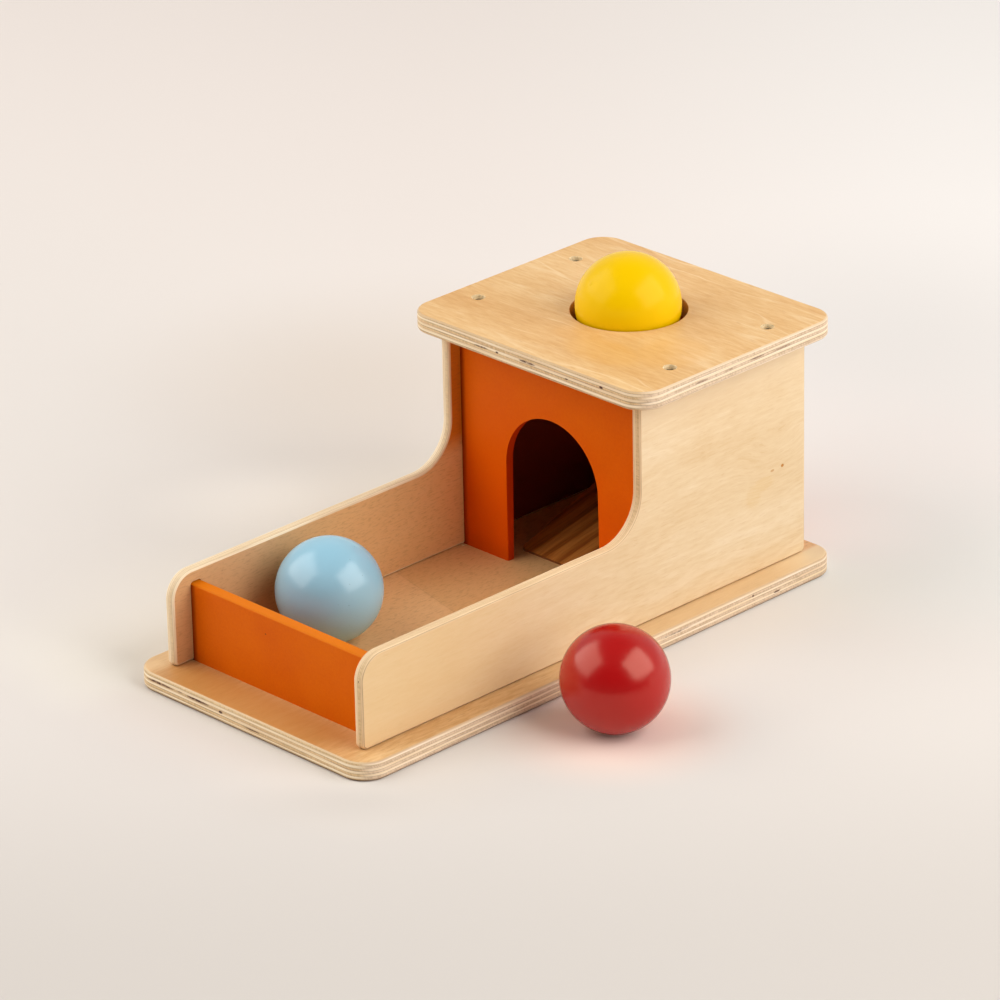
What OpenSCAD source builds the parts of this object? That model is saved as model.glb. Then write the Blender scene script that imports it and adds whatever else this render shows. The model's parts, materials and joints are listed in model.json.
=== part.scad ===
// Object permanence box: a small plywood house with a ball hole in its roof, a walled
// tray in front of its arched door, and three wooden balls that drop, roll and wait.
// Sizes are in millimetres. The origin is the centre of the underside of the base board.
// X runs across the tray, Y from the open tray end to the back of the house, Z is up.

/* [Base board] */
// Width of the base board, across the tray
base_w = 138; // [124:1:180]
// Length of the base board, from the tray end to the back of the house
base_l = 278; // [255:1:340]
// Thickness of the base board
base_t = 8.4; // [6:0.1:14]
// Corner radius of the base board, seen from above
base_corner_r = 11.5; // [4:0.5:20]

/* [Roof board] */
// Thickness of the roof board
roof_t = 8.4; // [6:0.1:14]
// Corner radius of the roof board, seen from above
roof_corner_r = 11.5; // [4:0.5:20]
// How far the roof board reaches in front of the house
roof_front_reach = 9.3; // [4:0.1:20]
// How far the roof board reaches behind the house
roof_back_reach = 9; // [4:0.1:20]
// How far the roof board reaches past each side of the house
roof_side_reach = 10.8; // [4:0.1:20]
// How much wider the ball hole is than a ball
hole_play = 4.5; // [2:0.1:6]
// Distance from the roof board's back edge to the centre of the ball hole
hole_from_back = 54.8; // [45:0.1:65]

/* [Side panels] */
// Thickness of each side panel
side_t = 4.8; // [4:0.1:8]
// Step of the base board beside each side panel
side_step = 10.8; // [5:0.1:16]
// Step of the base board in front of the side panels
front_step = 10; // [5:0.5:20]
// Step of the base board behind the side panels
back_step = 9; // [5:0.5:20]
// Height of the tray walls above the base board
tray_h = 40.6; // [30:0.1:55]
// Height of the house walls above the base board
house_h = 100.5; // [88:0.1:130]
// Depth of the house, from the front edge of its walls to their back edge
house_d = 99.8; // [88:0.1:125]
// Radius of the hollow curve between a tray wall and the house
sweep_r = 19.5; // [8:0.1:30]
// Radius of the front top corner of a tray wall
nose_r = 11.3; // [5:0.1:18]

/* [Arch panel] */
// Thickness of the arch panel
arch_t = 4; // [3:0.1:8]
// Distance from the front edge of the house walls back to the arch panel
arch_setback = 6.7; // [3:0.1:14]
// How much wider the doorway is than a ball
door_play = 9; // [4:0.1:20]
// Height at which the sides of the doorway end and its round arch starts
door_spring_h = 45.7; // [35:0.1:50]

/* [Tray end panel] */
// Thickness of the tray end panel
end_t = 5.8; // [4:0.1:9]
// Distance from the front edge of the tray walls back to the end panel
end_setback = 10.2; // [5:0.1:20]
// How much lower the end panel is than the tray walls
end_drop = 5.9; // [3:0.1:15]

/* [Back panel] */
// Thickness of the back panel
back_t = 4; // [3:0.1:8]
// Distance from the back edge of the house walls forward to the back panel
back_setback = 5; // [3:0.1:14]

/* [Ramp] */
// Width of the ramp
ramp_w = 62.2; // [50:0.1:90]
// Gap between the arch panel and the foot of the ramp
ramp_gap = 8; // [2:0.1:20]
// Height of the ramp's front edge
ramp_lip = 1; // [0.5:0.1:4]
// Slope of the ramp, in degrees
ramp_slope = 19.1; // [12:0.1:26]

/* [Balls] */
// Diameter of each ball
ball_d = 45; // [40:0.5:48]

/* [Screws] */
// Diameter of a screw's shank
screw_d = 2.4; // [1.8:0.1:3]
// Length of a screw under its head
screw_l = 16; // [12:0.5:22]
// Diameter of a screw's head
head_d = 5; // [4:0.1:7]
// Height of a screw's head
head_h = 1.6; // [1:0.1:2.5]
// Distance along the box between the two roof screws of one side
roof_screw_pitch = 58.6; // [40:0.1:70]
// Distance from the ends of a side panel to its outer base screws
base_screw_inset = 31.5; // [20:0.5:60]
// Distance between the two screws of the ramp
ramp_screw_pitch = 34; // [20:0.5:44]

/* [Hidden] */
$fn = 96;

// How far a cutting shape runs past the face that it cuts
overrun = 1;

// Rounding of the long edges of the boards, and of the small corners of the side panels
arris_r = 1.2;
side_corner_r = 2.5;
panel_arris_r = 1;
door_arris_r = 0.9;
// Depth of a board's rim in roundings, and the share of that rim its core leaves free
rim_share = 2;
core_inset_share = 0.75;

// Grooves in the side panels: their depth, the gap beside a panel and at its ends,
// the gap over the top of the end panel, and the radius of a groove's closed end
groove_depth = 2;
groove_play = 0.1;
groove_top_gap = 0.5;
groove_corner_r = 1.5;

// Fit of the screws: gap round a head, gap round a shank, depth of a head below the
// face, depth of a pilot hole below the screw's tip, and length of the tip
head_play = 0.8;
shank_play = 0.1;
head_sink = 1.7;
pilot_spare = 1;
tip_l = 3;
// Width, length and depth of the cross in a screw's head
cross_w = 0.8;
cross_l = 3;
cross_h = 0.9;

// Radius of the ramp's two front corners, seen from above
ramp_corner_r = 2;
// How far in front of the ramp's high back edge its screws stand
ramp_screw_inset = 15;

// The gap under the ball that rolls in the tray
roll_gap = 0.2;
// Where the blue ball lies: its gap from the left tray wall and from the end panel
blue_wall_gap = 4.6;
blue_end_gap = 23.4;
// Where the red ball lies beside the box: its gap from the base board, and how far its
// centre is behind the front edge of that board
red_base_gap = 14.1;
red_from_front = 104.7;
// Where the yellow ball sits in its hole: its gap from the wall of the hole, the bearing
// in which it leans, in degrees from X, and the height of its centre over the roof
yellow_gap = 0.35;
yellow_bearing = -53;
yellow_rise = 2.86;

birch_colour = "#e2c492";
pale_birch_colour = "#ecd5ac";
orange_colour = "#d8620e";
pine_colour = "#c9925a";
steel_colour = "#b9b6b0";
yellow_colour = "#f2bd0a";
blue_colour = "#9fc6e4";
red_colour = "#b5222f";

// Heights of the faces that pieces stand on or end at
roof_z = base_t + house_h;
top_z = roof_z + roof_t;

// Places along Y
base_front = -base_l / 2;
base_back = base_l / 2;
side_front = base_front + front_step;
side_back = base_back - back_step;
house_front = side_back - house_d;
roof_front = house_front - roof_front_reach;
roof_back = side_back + roof_back_reach;
arch_front = house_front + arch_setback;
arch_back = arch_front + arch_t;
end_front = side_front + end_setback;
end_back = end_front + end_t;
back_back = side_back - back_setback;
back_front = back_back - back_t;
ramp_front = arch_back + ramp_gap;
ramp_back = back_front;
hole_y = roof_back - hole_from_back;

// Places across X
side_outer = base_w / 2 - side_step;
roof_half_w = side_outer + roof_side_reach;
side_inner = side_outer - side_t;
side_middle = side_outer - side_t / 2;
panel_half_w = side_inner + groove_depth - groove_play;

ball_r = ball_d / 2;
hole_r = ball_r + hole_play / 2;
door_r = ball_r + door_play / 2;
end_h = tray_h - end_drop;
ramp_rise = (ramp_back - ramp_front) * tan(ramp_slope);

// The ball in the hole leans until only its small gap is left
yellow_lean = hole_r - ball_r - yellow_gap;
yellow_x = yellow_lean * cos(yellow_bearing);
yellow_y = hole_y + yellow_lean * sin(yellow_bearing);
yellow_z = top_z + yellow_rise;
blue_x = -side_inner + blue_wall_gap + ball_r;
blue_y = end_back + blue_end_gap + ball_r;
red_x = base_w / 2 + red_base_gap + ball_r;
red_y = base_front + red_from_front;

// Screws stand over the middle of the side panels, and in the ramp near its high end
roof_screw_y = (roof_front + roof_back) / 2;
base_screw_ys = [
    side_front + base_screw_inset, (side_front + side_back) / 2, side_back - base_screw_inset];
roof_screw_places = [for (x = [-1, 1], y = [-1, 1])
    [x * side_middle, roof_screw_y + y * roof_screw_pitch / 2]];
base_screw_places = [for (x = [-1, 1], y = base_screw_ys) [x * side_middle, y]];
ramp_screw_places = [for (x = [-1, 1])
    [x * ramp_screw_pitch / 2, ramp_back - ramp_screw_inset]];

// What rounding takes off a square corner whose centre of rounding is the origin
module corner_waste(r) {
    difference() {
        square(r + overrun);
        circle(r);
    }
}

// Section through the edge of a board, with its outer edge at x = 0
module edge_section(depth, t, r) {
    difference() {
        square([depth, t]);
        translate([r, r]) rotate(180) corner_waste(r);
        translate([r, t - r]) rotate(90) corner_waste(r);
    }
}

// A straight stretch of a board's edge along X, with the board on its +Y side
module edge_bar(length, depth, t, r) {
    rotate([90, 0, 90]) linear_extrude(length) edge_section(depth, t, r);
}

// The round corner of a board, as a disc with a rounded rim
module corner_disc(corner_r, t, r) {
    rotate_extrude() difference() {
        square([corner_r, t]);
        translate([corner_r - r, t - r]) corner_waste(r);
        translate([corner_r - r, r]) rotate(270) corner_waste(r);
    }
}

// The rim round the inside of a hollow corner, as a quarter ring
module corner_ring(corner_r, depth, t, r) {
    rotate_extrude(angle = 90) translate([corner_r, 0]) edge_section(depth, t, r);
}

function unit(v) = v / norm(v);
function left_of(v) = [-v.y, v.x];

// A board of thickness t whose edges are rounded by r. Its corners go round anticlockwise,
// each with its place and its radius, and a corner that turns the other way is hollow.
module soft_board(corners, t, r) {
    count = len(corners);
    rim = rim_share * r;
    inset = core_inset_share * rim;
    spot = [for (c = corners) [c[0], c[1]]];
    ahead = [for (i = [0:count - 1]) unit(spot[(i + 1) % count] - spot[i])];
    behind = [for (i = [0:count - 1]) ahead[(i + count - 1) % count]];
    centre = [for (i = [0:count - 1]) spot[i] + (ahead[i] - behind[i]) * corners[i][2]];
    hollow = [for (i = [0:count - 1]) left_of(behind[i]) * ahead[i] < 0];
    inner = [for (i = [0:count - 1]) each
        let (before = spot[i] - behind[i] * corners[i][2] + left_of(behind[i]) * inset)
        let (after = spot[i] + ahead[i] * corners[i][2] + left_of(ahead[i]) * inset)
        hollow[i] ? [before, centre[i], after] : [before, after]];

    for (i = [0:count - 1]) {
        next = corners[(i + 1) % count];
        run = norm(spot[(i + 1) % count] - spot[i]) - corners[i][2] - next[2];
        translate(spot[i] + ahead[i] * corners[i][2])
            rotate(atan2(ahead[i].y, ahead[i].x)) edge_bar(run, rim, t, r);
        translate(centre[i])
            if (hollow[i])
                rotate(atan2(behind[i].y, behind[i].x)) corner_ring(corners[i][2], rim, t, r);
            else
                corner_disc(corners[i][2], t, r);
    }
    linear_extrude(t) difference() {
        polygon(inner);
        for (i = [0:count - 1])
            if (hollow[i]) translate(centre[i]) circle(corners[i][2] + inset);
    }
}

// Section through a board of width w, with all four edges rounded
module board_section(w, t, r) {
    difference() {
        edge_section(w, t, r);
        translate([w - r, r]) rotate(270) corner_waste(r);
        translate([w - r, t - r]) corner_waste(r);
    }
}

// A rectangular soft board between two places along X and two along Y, made of two
// crossing bars and a disc at each corner
module soft_rectangle(x0, x1, y0, y1, corner_r, t, r) {
    w = x1 - x0;
    l = y1 - y0;
    translate([x0 + corner_r, y0, 0])
        rotate([90, 0, 90]) linear_extrude(w - 2 * corner_r) board_section(l, t, r);
    translate([x0, y1 - corner_r, 0])
        rotate([90, 0, 0]) linear_extrude(l - 2 * corner_r) board_section(w, t, r);
    for (x = [x0 + corner_r, x1 - corner_r], y = [y0 + corner_r, y1 - corner_r])
        translate([x, y, 0]) corner_disc(corner_r, t, r);
}

// A screw that points down, with the top of its head at z = 0
module wood_screw() {
    difference() {
        translate([0, 0, -head_h]) cylinder(h = head_h, d = head_d);
        for (turn = [0, 90])
            rotate(turn) translate([-cross_l / 2, -cross_w / 2, -cross_h])
                cube([cross_l, cross_w, cross_h + overrun]);
    }
    translate([0, 0, -head_h - screw_l + tip_l]) cylinder(h = screw_l - tip_l, d = screw_d);
    translate([0, 0, -head_h - screw_l]) cylinder(h = tip_l, d1 = 0, d2 = screw_d);
}

// The hole that such a screw needs in a board of thickness t whose top is at z = 0
module screw_hole(t) {
    translate([0, 0, -head_sink - head_h])
        cylinder(h = head_sink + head_h + overrun, d = head_d + head_play);
    translate([0, 0, -t - overrun]) cylinder(h = t + 2 * overrun, d = screw_d + 2 * shank_play);
}

// The pilot hole under a board of thickness t, in the piece that starts at z = -t
module pilot_hole(t) {
    reach = head_sink + head_h + screw_l + pilot_spare;
    translate([0, 0, -reach]) cylinder(h = reach - t + overrun, d = screw_d + 2 * shank_play);
}

module at_roof_screws() {
    for (p = roof_screw_places) translate([p.x, p.y, top_z]) children();
}

// The screws of the base point up
module at_base_screws(places) {
    for (p = places) translate([p.x, p.y, 0]) mirror([0, 0, 1]) children();
}

module base_board() {
    color(birch_colour) difference() {
        soft_rectangle(
            -base_w / 2, base_w / 2, base_front, base_back, base_corner_r, base_t, arris_r);
        at_base_screws(base_screw_places) screw_hole(base_t);
        at_base_screws(ramp_screw_places) screw_hole(base_t);
    }
}

module roof_board() {
    color(birch_colour) difference() {
        translate([0, 0, roof_z])
            soft_rectangle(
                -roof_half_w, roof_half_w, roof_front, roof_back, roof_corner_r, roof_t, arris_r);
        translate([0, hole_y, roof_z - overrun]) cylinder(h = roof_t + 2 * overrun, r = hole_r);
        at_roof_screws() screw_hole(roof_t);
    }
}

// A groove for a cross panel, open at the bottom, with its round corners at height h
module groove(y0, y1, h) {
    w = y1 - y0 + 2 * groove_play;
    top = h + overrun;
    translate([y0 - groove_play, -overrun, -overrun])
        linear_extrude(groove_depth + overrun) difference() {
            square([w, top]);
            translate([w - groove_corner_r, top - groove_corner_r])
                corner_waste(groove_corner_r);
            translate([groove_corner_r, top - groove_corner_r])
                rotate(90) corner_waste(groove_corner_r);
        }
}

// The side panel drawn flat, with Y along x, height along y and its inner face at z = 0
module flat_side_panel() {
    past_top = house_h + groove_corner_r + overrun;
    difference() {
        soft_board([
            [side_front, 0, side_corner_r],
            [side_back, 0, side_corner_r],
            [side_back, house_h, side_corner_r],
            [house_front, house_h, side_corner_r],
            [house_front, tray_h, sweep_r],
            [side_front, tray_h, nose_r],
        ], side_t, arris_r);
        groove(end_front, end_back, end_h + groove_top_gap);
        groove(arch_front, arch_back, past_top);
        groove(back_front, back_back, past_top);
    }
}

module side_panel() {
    color(pale_birch_colour) difference() {
        translate([side_inner, 0, base_t]) rotate([90, 0, 90]) flat_side_panel();
        at_roof_screws() pilot_hole(roof_t);
        at_base_screws(base_screw_places) pilot_hole(base_t);
    }
}

module right_side_panel() {
    side_panel();
}

module left_side_panel() {
    mirror([1, 0, 0]) side_panel();
}

// Stands a cross panel, drawn flat with its height along y, up with its back at y = back
module stand_panel(back) {
    color(orange_colour) translate([0, back, base_t]) rotate([90, 0, 0]) children();
}

// A flat panel of the house, which fills its grooves from the base to the roof
module flat_house_panel(t) {
    translate([-panel_half_w, 0, 0]) cube([2 * panel_half_w, house_h, t]);
}

// What rounding takes off both edges of one side of the doorway, through the panel
module door_edge_waste() {
    translate([door_r + door_arris_r, door_arris_r]) rotate(180) corner_waste(door_arris_r);
    translate([door_r + door_arris_r, arch_t - door_arris_r])
        rotate(90) corner_waste(door_arris_r);
}

module door_jamb_edge(length) {
    rotate([90, 0, 0]) linear_extrude(length) door_edge_waste();
}

// The doorway through a flat panel, with the middle of its round arch at the origin
module doorway() {
    jamb_h = door_spring_h + overrun;
    translate([0, 0, -overrun]) linear_extrude(arch_t + 2 * overrun) {
        circle(door_r);
        translate([-door_r, -jamb_h]) square([2 * door_r, jamb_h]);
    }
    rotate_extrude(angle = 180) door_edge_waste();
    door_jamb_edge(jamb_h);
    mirror([1, 0, 0]) door_jamb_edge(jamb_h);
}

module arch_panel() {
    stand_panel(arch_back) difference() {
        flat_house_panel(arch_t);
        translate([0, door_spring_h, 0]) doorway();
    }
}

module tray_end_panel() {
    stand_panel(end_back) translate([panel_half_w, end_h, 0]) rotate(180)
        edge_bar(2 * panel_half_w, end_h, end_t, panel_arris_r);
}

module back_panel() {
    stand_panel(back_back) flat_house_panel(back_t);
}

// The ramp seen from above, with its two front corners rounded
module ramp_plan() {
    translate([-ramp_w / 2, ramp_front]) difference() {
        square([ramp_w, ramp_back - ramp_front]);
        translate([ramp_w - ramp_corner_r, ramp_corner_r])
            rotate(270) corner_waste(ramp_corner_r);
        translate([ramp_corner_r, ramp_corner_r]) rotate(180) corner_waste(ramp_corner_r);
    }
}

// The ramp seen from its right side, standing on the base board
module ramp_side() {
    polygon([
        [ramp_front, 0],
        [ramp_back, 0],
        [ramp_back, ramp_lip + ramp_rise],
        [ramp_front, ramp_lip],
    ]);
}

module ramp() {
    color(pine_colour) difference() {
        translate([0, 0, base_t]) intersection() {
            linear_extrude(ramp_lip + ramp_rise) ramp_plan();
            translate([-ramp_w / 2, 0, 0])
                rotate([90, 0, 90]) linear_extrude(ramp_w) ramp_side();
        }
        at_base_screws(ramp_screw_places) pilot_hole(base_t);
    }
}

module yellow_ball() {
    color(yellow_colour) translate([yellow_x, yellow_y, yellow_z]) sphere(ball_r);
}

module blue_ball() {
    color(blue_colour) translate([blue_x, blue_y, base_t + roll_gap + ball_r]) sphere(ball_r);
}

module red_ball() {
    color(red_colour) translate([red_x, red_y, ball_r]) sphere(ball_r);
}

module roof_screw(number) {
    p = roof_screw_places[number - 1];
    color(steel_colour) translate([p.x, p.y, top_z - head_sink]) wood_screw();
}

// A screw that points up into the piece over the base board
module lower_screw(p) {
    color(steel_colour) translate([p.x, p.y, head_sink]) mirror([0, 0, 1]) wood_screw();
}

module base_screw(number) {
    lower_screw(base_screw_places[number - 1]);
}

module ramp_screw(number) {
    lower_screw(ramp_screw_places[number - 1]);
}

base_board();
left_side_panel();
right_side_panel();
roof_board();
arch_panel();
tray_end_panel();
back_panel();
ramp();
yellow_ball();
blue_ball();
red_ball();
roof_screw(1);  // roof_screw_1
roof_screw(2);  // roof_screw_2
roof_screw(3);  // roof_screw_3
roof_screw(4);  // roof_screw_4
base_screw(1);  // base_screw_1
base_screw(2);  // base_screw_2
base_screw(3);  // base_screw_3
base_screw(4);  // base_screw_4
base_screw(5);  // base_screw_5
base_screw(6);  // base_screw_6
ramp_screw(1);  // ramp_screw_1
ramp_screw(2);  // ramp_screw_2
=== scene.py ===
import json
import math

import bmesh
import bpy
from mathutils import Matrix, Vector

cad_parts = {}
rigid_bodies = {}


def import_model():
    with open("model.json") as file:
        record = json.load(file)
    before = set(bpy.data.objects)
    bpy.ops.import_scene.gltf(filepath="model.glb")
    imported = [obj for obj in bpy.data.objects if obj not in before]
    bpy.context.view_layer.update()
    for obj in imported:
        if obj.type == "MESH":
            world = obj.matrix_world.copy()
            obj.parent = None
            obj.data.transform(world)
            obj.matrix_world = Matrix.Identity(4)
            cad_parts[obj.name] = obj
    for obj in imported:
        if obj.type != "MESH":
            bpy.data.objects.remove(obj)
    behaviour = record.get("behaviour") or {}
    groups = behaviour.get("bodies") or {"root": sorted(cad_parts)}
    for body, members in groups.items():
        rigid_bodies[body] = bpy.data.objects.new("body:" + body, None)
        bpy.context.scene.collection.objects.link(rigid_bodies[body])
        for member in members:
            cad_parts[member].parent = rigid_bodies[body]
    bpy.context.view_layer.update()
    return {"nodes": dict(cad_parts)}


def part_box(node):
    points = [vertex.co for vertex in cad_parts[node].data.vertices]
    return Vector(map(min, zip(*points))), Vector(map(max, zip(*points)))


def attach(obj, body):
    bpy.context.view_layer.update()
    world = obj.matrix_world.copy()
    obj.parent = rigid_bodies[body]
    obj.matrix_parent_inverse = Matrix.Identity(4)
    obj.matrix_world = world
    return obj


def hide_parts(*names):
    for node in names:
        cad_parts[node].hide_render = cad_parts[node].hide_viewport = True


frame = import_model()
scene = bpy.context.scene
mm = 0.001
print("frame loaded,", len(frame["nodes"]), "nodes")


# camera, lights and floor

cameraSettings = {
    "place": (1.60253, -1.55726, 1.06581),
    "azimuth": 45.7031,
    "elevation": 24.2911,
    "roll": -1.2211,
    "lens": 213.25,
}

lightSettings = {
    # azimuth 0 is in front of the tray and 90 is on the right; size is the angle that a lamp fills
    "rightSoftbox": {"azimuth": 112, "elevation": 36, "width": 56, "height": 46, "radiance": 3.6,
                     "colour": (1.0, 0.97, 0.93)},
    "leftSoftbox": {"azimuth": -45, "elevation": 40, "width": 62, "height": 48, "radiance": 2.6,
                    "colour": (1.0, 0.96, 0.91)},
    "distance": 1.7,
    "target": (0.0, 0.0, 0.05),
    "roomDark": (0.06, 0.055, 0.05),
    "roomCeiling": (0.2, 0.19, 0.18),
    "roomBack": (0.62, 0.6, 0.57),
    "horizon": (0.86, 0.82, 0.78),
    # a dark card on the camera's side, which only reflections see
    "flag": {"distance": 0.345, "width": 1.6, "height": 0.13, "shade": 0.03},
}

floorSettings = {
    "radius": 14.0,
    "below": 0.00015,
    "nearColour": (0.705, 0.67, 0.64),
    "colour": (0.80, 0.765, 0.74),
    # painted light: the paper is paler beside the box and behind the house, against their shadows
    "besideBoxPaintedLight": (0.835, 0.79, 0.745),
    "besideWidth": 0.05,
    "besideLeft": 0.42,
    "besideBoxLeftPaintedLight": (0.895, 0.865, 0.81),
    "behindLeft": (0.838, 0.785, 0.758),
    "behindColour": (0.88, 0.86, 0.85),
    "behindHousePaintedLight": (0.83, 0.845, 0.83),
    # painted red bounce light and a painted contact shadow on the paper round the red ball's rest place
    "redBallBounceAndShadow": {"spot": "red_ball", "colour": (0.94, 0.76, 0.68), "width": 0.06,
               "contactShadow": (0.80, 0.645, 0.59)},
    # soft spots of painted light and shade on the paper: to the camera's right, away from it, half widths,
    # colour
    "spots": [
        (-0.070, 0.130, 0.10, 0.060, (0.96, 0.92, 0.88)),
        (-0.045, 0.275, 0.16, 0.140, (0.75, 0.69, 0.64)),
        (0.190, 0.270, 0.20, 0.220, (0.765, 0.75, 0.74)),
        (0.150, 0.075, 0.06, 0.050, (0.89, 0.89, 0.875)),
        (-0.055, -0.160, 0.07, 0.035, (0.72, 0.68, 0.645)),
    ],
    "farColour": (0.90, 0.855, 0.82),
    "farStart": 0.9,
    "farEnd": 2.6,
}


def direction(azimuth, elevation):
    a, e = math.radians(azimuth), math.radians(elevation)
    return Vector((math.sin(a) * math.cos(e), -math.cos(a) * math.cos(e), math.sin(e)))


def linkObject(thing):
    scene.collection.objects.link(thing)
    return thing


def middleOf(node):
    low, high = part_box(node)
    return (low + high) / 2


def addCamera(look):
    back = direction(look["azimuth"], look["elevation"])
    azimuth = math.radians(look["azimuth"])
    level = Vector((math.cos(azimuth), math.sin(azimuth), 0))
    up = back.cross(level)
    roll = math.radians(look["roll"])
    right = math.cos(roll) * level + math.sin(roll) * up
    top = math.cos(roll) * up - math.sin(roll) * level
    data = bpy.data.cameras.new("photoCamera")
    data.lens = look["lens"]
    data.sensor_width = 36
    data.clip_end = 60
    camera = linkObject(bpy.data.objects.new("photoCamera", data))
    turn = Matrix((right, top, back)).transposed().to_4x4()
    camera.matrix_world = Matrix.Translation(look["place"]) @ turn
    scene.camera = camera


def addSoftbox(name, look, distance, target):
    away = direction(look["azimuth"], look["elevation"])
    data = bpy.data.lights.new(name, "AREA")
    data.shape = "RECTANGLE"
    data.size = 2 * distance * math.tan(math.radians(look["width"] / 2))
    data.size_y = 2 * distance * math.tan(math.radians(look["height"] / 2))
    data.energy = look["radiance"] * math.pi * data.size * data.size_y
    data.color = look["colour"]
    lamp = linkObject(bpy.data.objects.new(name, data))
    lamp.location = Vector(target) + distance * away
    lamp.rotation_euler = away.to_track_quat("Z", "Y").to_euler()
    lamp.visible_camera = False


print("camera and lights")
addCamera(cameraSettings)
for lampName in ("rightSoftbox", "leftSoftbox"):
    addSoftbox(lampName, lightSettings[lampName], lightSettings["distance"], lightSettings["target"])


# shader helpers

def srgb(red, green, blue):
    return tuple(
        c / 12.92 if c <= 0.04045 else ((c + 0.055) / 1.055) ** 2.4
        for c in (red / 255, green / 255, blue / 255))


class Wire:  # one output socket; sums written with it become Math nodes
    def __init__(self, desk, socket):
        self.desk = desk
        self.socket = socket

    def maths(self, operation, *others):
        return self.desk.node("ShaderNodeMath", {"operation": operation}, [self, *others])

    def __add__(self, other):
        return self.maths("ADD", other)

    def __sub__(self, other):
        return self.maths("SUBTRACT", other)

    def __rsub__(self, other):
        return self.desk.node("ShaderNodeMath", {"operation": "SUBTRACT"}, [other, self])

    def __mul__(self, other):
        return self.maths("MULTIPLY", other)

    def __truediv__(self, other):
        return self.maths("DIVIDE", other)

    def __pow__(self, other):
        return self.maths("POWER", other)

    def __mod__(self, other):
        return self.maths("FLOORED_MODULO", other)

    def __abs__(self):
        return self.maths("ABSOLUTE")

    def __gt__(self, other):
        return self.maths("GREATER_THAN", other)

    def __lt__(self, other):
        return self.maths("LESS_THAN", other)

    __radd__ = __add__
    __rmul__ = __mul__


class NodeSheet:  # what shader trees and geometry trees have in common
    def __init__(self, tree):
        self.nodes = tree.nodes
        self.links = tree.links

    def feed(self, socket, value):
        # a list goes to a socket that takes many links
        if isinstance(value, list):
            for each in value:
                self.feed(socket, each)
        elif isinstance(value, Wire):
            self.links.new(value.socket, socket)
        elif socket.type == "RGBA":
            socket.default_value = (*value, 1.0)
        else:
            socket.default_value = value

    def node(self, kind, settings=None, inputs=(), output=0):
        made = self.nodes.new(kind)
        for key, value in (settings or {}).items():
            if key == "stops":
                self.setStops(made.color_ramp, value)
            else:
                setattr(made, key, value)
        pairs = inputs.items() if isinstance(inputs, dict) else enumerate(inputs)
        for key, value in pairs:
            self.feed(made.inputs[key], value)
        return Wire(self, made.outputs[output]) if made.outputs else None

    def setStops(self, ramp, stops):
        while len(ramp.elements) < len(stops):
            ramp.elements.new(1.0)
        for element, (place, colour) in zip(ramp.elements, stops):
            element.position = place
            element.color = (*colour, 1.0)

    def split(self, vector):
        parts = self.node("ShaderNodeSeparateXYZ", inputs=[vector])
        return [Wire(self, s) for s in parts.socket.node.outputs]

    def join(self, x, y, z):
        return self.node("ShaderNodeCombineXYZ", inputs=[x, y, z])

    def length(self, x, y):
        return (x * x + y * y) ** 0.5


class Desk(NodeSheet):  # the nodes of one material or of the world
    def __init__(self, owner):
        owner.use_nodes = True
        super().__init__(owner.node_tree)
        self.owner = owner
        self.nodes.clear()

    def place(self):
        self.at = self.split(self.node("ShaderNodeTexCoord", output="Object"))
        return self.at

    def facing(self):
        return [abs(part) for part in self.split(self.node("ShaderNodeNewGeometry", output="Normal"))]

    def noise(self, x, y, z, detail=2.0, roughness=0.5):
        return self.node("ShaderNodeTexNoise", {"noise_dimensions": "3D"},
                         {"Vector": self.join(x, y, z), "Scale": 1.0, "Detail": detail,
                          "Roughness": roughness})

    def evenNoise(self, scale, detail, seed=0.0):
        # equally fine in all directions
        x, y, z = self.at
        return self.noise(x * scale, y * scale, z * scale + seed, detail)

    def step(self, value, low, high):
        return self.node("ShaderNodeMapRange", {"interpolation_type": "SMOOTHSTEP"},
                         [value, low, high, 0.0, 1.0])

    def band(self, value, middle, halfWidth, soft):
        return 1 - self.step(abs(value - middle), halfWidth, halfWidth + soft)

    def marks(self, u, v, places):
        # soft ellipses at (u, v, half width, half height, strength), in mm
        total = None
        for u0, v0, su, sv, strength in places:
            a = (u / mm - u0) / su
            b = (v / mm - v0) / sv
            spot = (1 - self.step(a * a + b * b, 0.35, 1.2)) * strength
            total = spot if total is None else total.maths("MAXIMUM", spot)
        return total

    def mix(self, factor, first, second):
        return self.node("ShaderNodeMix", {"data_type": "RGBA"}, {0: factor, 6: first, 7: second}, 2)

    def paint(self, colour, look, coats):
        # each coat is a mask and the name of its colour
        for mask, name in coats:
            colour = self.mix(mask, colour, look[name])
        return colour

    def tones(self, value, stops):
        return self.node("ShaderNodeValToRGB", {"stops": stops}, [value])

    def finish(self, colour, roughness, height=None, depth=0.0, fixed=None):
        inputs = {"Base Color": colour, "Roughness": roughness, **(fixed or {})}
        if height is not None:
            inputs["Normal"] = self.node("ShaderNodeBump", None, {
                "Strength": 1.0, "Distance": depth, "Height": height})
        shader = self.node("ShaderNodeBsdfPrincipled", None, inputs)
        self.node("ShaderNodeOutputMaterial", None, [shader])
        return self.owner


def newDesk(name):
    return Desk(bpy.data.materials.new(name))


# world and floor

def makeStudioRoom(look):
    desk = Desk(scene.world or bpy.data.worlds.new("studioRoom"))
    scene.world = desk.owner
    x, y, z = desk.split(desk.node("ShaderNodeTexCoord", output="Generated"))
    # bright sheet behind the object, dark room round the camera, grey ceiling
    behind = desk.step(x * -0.72 + y * 0.69, -0.25, 0.35)
    room = desk.mix(behind, look["roomDark"], look["roomBack"])
    room = desk.mix(desk.step(z, 0.55, 0.95), room, look["roomCeiling"])
    room = desk.mix(desk.step(z, 0.085, 0.16), look["horizon"], room)
    shader = desk.node("ShaderNodeBackground", None, {"Color": room, "Strength": 1.0})
    desk.node("ShaderNodeOutputWorld", None, [shader])


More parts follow.
